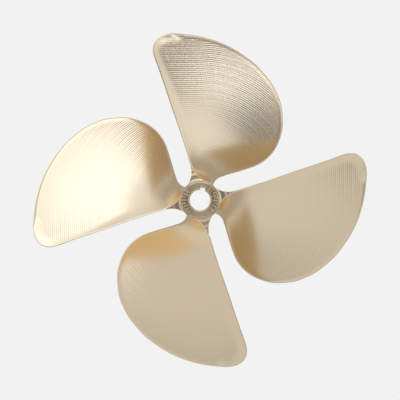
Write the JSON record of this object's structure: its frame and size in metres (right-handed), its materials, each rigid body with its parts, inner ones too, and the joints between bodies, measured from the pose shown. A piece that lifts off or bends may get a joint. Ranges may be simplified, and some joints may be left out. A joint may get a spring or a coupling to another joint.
{
  "type": "boat propeller",
  "caption": "Cast bronze four-bladed boat propeller with broad cupped blades, a short turned hub, a taper shaft bore and a keyway.",
  "frame": {"origin": "on the shaft axis, in the plane of the blades' lowest leading edges, on which the propeller rests with its forward side down", "axes": "+Z aft along the shaft, +Y along the first blade's centre line, +X to its leading side"},
  "size_m": [0.4022, 0.4022, 0.0688],
  "materials": {
    "bronze": "machined and satin polished nickel aluminium bronze"
  },
  "bodies": {
    "root": {"propeller": "bronze"}
  },
  "joints": []
}
